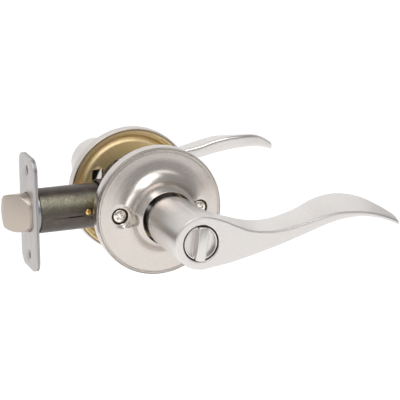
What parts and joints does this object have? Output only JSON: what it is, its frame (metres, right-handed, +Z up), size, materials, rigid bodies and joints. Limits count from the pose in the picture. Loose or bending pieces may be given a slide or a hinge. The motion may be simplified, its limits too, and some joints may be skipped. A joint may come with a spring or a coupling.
{
  "type": "door lever handle",
  "caption": "Privacy door lever set: two wave levers on round roses joined by a spindle, with a turn button and a tubular spring latch.",
  "frame": {"origin": "where the spindle axis crosses the latch axis, in the middle of the door's thickness", "axes": "+Y along the spindle towards the outside of the door, -X along the latch towards the door's edge, +Z up"},
  "size_m": [0.1735, 0.1658, 0.065],
  "materials": {
    "satin_nickel": "satin nickel plate, fine brushed grain",
    "satin_nickel_rose": "satin nickel plate, brushed in circles",
    "yellow_zinc": "yellow zinc plate with a faint colour play",
    "zinc_steel": "clear zinc plate",
    "spring_steel": "oiled spring wire",
    "bright_screw": "bright nickel plate",
    "faceplate_nickel": "satin nickel plate, slightly darker",
    "dark_tube": "dark oxide finish",
    "warm_bolt": "satin nickel plate on a cast bolt",
    "brass_rivet": "plain brass"
  },
  "bodies": {
    "door_side": {"interior_rose": "satin_nickel_rose", "exterior_rose": "satin_nickel_rose", "interior_backplate": "yellow_zinc", "exterior_backplate": "yellow_zinc", "interior_return_spring": "spring_steel", "exterior_return_spring": "spring_steel", "mounting_screws": "bright_screw", "screw_posts": "yellow_zinc", "latch_faceplate": "faceplate_nickel", "faceplate_backing": "faceplate_nickel", "latch_collar": "zinc_steel", "latch_tube": "dark_tube", "latch_case": "dark_tube", "bolt_spring": "spring_steel", "latch_rivet": "brass_rivet"},
    "handles": {"interior_lever": "satin_nickel", "exterior_lever": "satin_nickel", "interior_drive_cam": "zinc_steel", "exterior_drive_cam": "zinc_steel", "interior_retaining_ring": "spring_steel", "exterior_retaining_ring": "spring_steel", "spindle": "zinc_steel", "latch_hub": "zinc_steel"},
    "privacy_lock": {"turn_button": "satin_nickel", "lock_rod": "zinc_steel", "emergency_release": "zinc_steel"},
    "bolt": {"latch_bolt": "warm_bolt", "bolt_retractor": "zinc_steel"}
  },
  "joints": [
    {"name": "handle_turn", "type": "hinge", "parent": "door_side", "child": "handles", "pos_m": [0, 0, 0], "axis": [0, 1, 0], "range_deg": [0, 50], "stiffness_Nm_per_rad": 0.9, "springref_deg": -51.57},
    {"name": "bolt_slide", "type": "slide", "parent": "door_side", "child": "bolt", "axis": [1, 0, 0], "range_m": [0, 0.0108], "deforming": ["bolt_spring"]},
    {"name": "privacy_turn", "type": "hinge", "parent": "handles", "child": "privacy_lock", "pos_m": [0, 0, 0], "axis": [0, 1, 0], "range_deg": [0, 90]}
  ],
  "couplings": [
    {"joint": "bolt_slide", "follows": "handle_turn", "m_per_rad": 0.01237}
  ]
}
